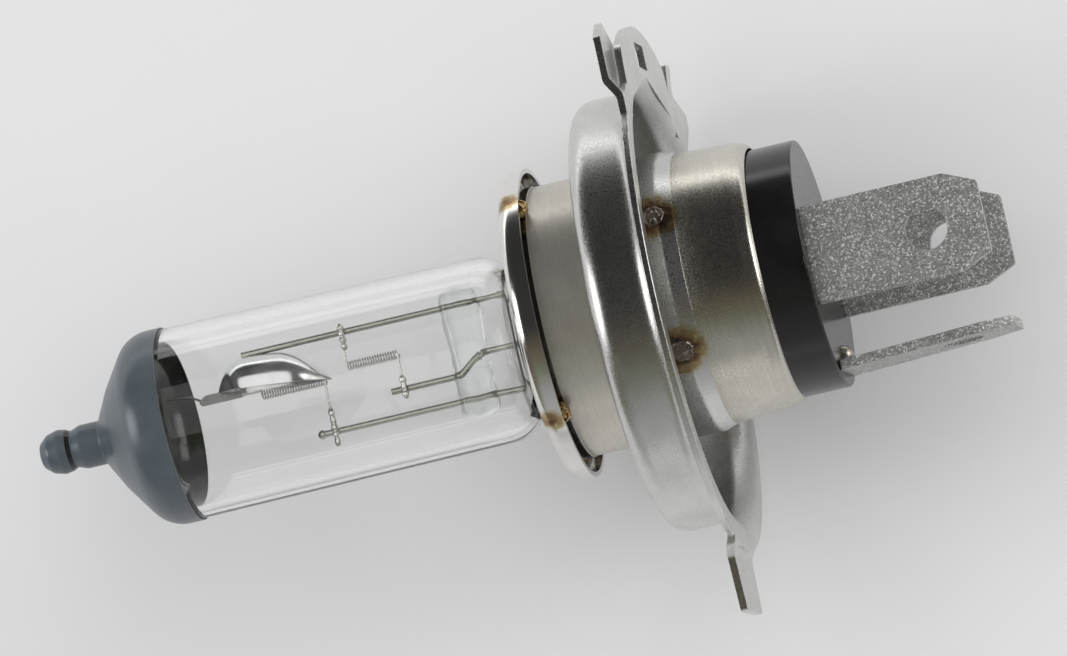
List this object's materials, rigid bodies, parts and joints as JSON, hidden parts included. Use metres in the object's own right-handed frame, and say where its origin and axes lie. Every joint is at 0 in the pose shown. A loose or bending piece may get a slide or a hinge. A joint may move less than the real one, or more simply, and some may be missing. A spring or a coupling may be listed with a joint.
{
  "type": "halogen headlight bulb",
  "caption": "Clear glass halogen headlamp bulb with a painted tip, two coils and a dipped-beam shield, on a lugged metal cap with flat spade terminals.",
  "frame": {"origin": "on the lamp axis, at the middle of the flange cup's straight cylindrical wall (the spigot that centres the lamp in a reflector)", "axes": "+X along the lamp axis from the terminals to the glass tip, +Y to the wide locating lug, +Z to the side with the high-beam terminal"},
  "size_m": [0.0819, 0.0491, 0.0416],
  "materials": {
    "glass_envelope": "clear, polished",
    "anti_glare_cap": "satin blue-grey heat-proof paint",
    "glass_bridge": "clear, fire-polished",
    "lead_wire_common": "drawn molybdenum wire",
    "lead_wire_high_beam": "drawn molybdenum wire",
    "lead_wire_low_beam": "drawn molybdenum wire",
    "sealing_foils": "thin rolled foil",
    "outer_lead_common": "drawn wire",
    "outer_lead_high_beam": "drawn wire",
    "outer_lead_low_beam": "drawn wire",
    "dipped_beam_shield": "bright pressed sheet",
    "filament_strap": "bent strip",
    "low_beam_filament": "bright tungsten coil",
    "high_beam_filament": "bright tungsten coil",
    "filament_clamp_common": "crimped, bright",
    "filament_clamp_high": "crimped, bright",
    "filament_clamp_low": "crimped, bright",
    "pinch_holder": "rolled sheet",
    "front_collar": "bright rolled lip",
    "collar_welds": "heat-tinted spot welds",
    "base_sleeve": "satin drawn sleeve",
    "mounting_flange": "satin pressed sheet",
    "flange_welds": "heat-tinted spot welds",
    "insulator": "satin black moulding",
    "terminal_high_beam": "tinned, matte",
    "terminal_low_beam": "tinned, matte",
    "terminal_common": "tinned, matte",
    "solder_joints": "tin solder"
  },
  "bodies": {
    "root": {"glass_envelope": "glass_envelope", "anti_glare_cap": "anti_glare_cap", "glass_bridge": "glass_bridge", "lead_wire_common": "lead_wire_common", "lead_wire_high_beam": "lead_wire_high_beam", "lead_wire_low_beam": "lead_wire_low_beam", "sealing_foils": "sealing_foils", "outer_lead_common": "outer_lead_common", "outer_lead_high_beam": "outer_lead_high_beam", "outer_lead_low_beam": "outer_lead_low_beam", "dipped_beam_shield": "dipped_beam_shield", "filament_strap": "filament_strap", "low_beam_filament": "low_beam_filament", "high_beam_filament": "high_beam_filament", "filament_clamp_common": "filament_clamp_common", "filament_clamp_high": "filament_clamp_high", "filament_clamp_low": "filament_clamp_low", "pinch_holder": "pinch_holder", "front_collar": "front_collar", "collar_welds": "collar_welds", "base_sleeve": "base_sleeve", "mounting_flange": "mounting_flange", "flange_welds": "flange_welds", "insulator": "insulator", "terminal_high_beam": "terminal_high_beam", "terminal_low_beam": "terminal_low_beam", "terminal_common": "terminal_common", "solder_joints": "solder_joints"}
  },
  "joints": []
}
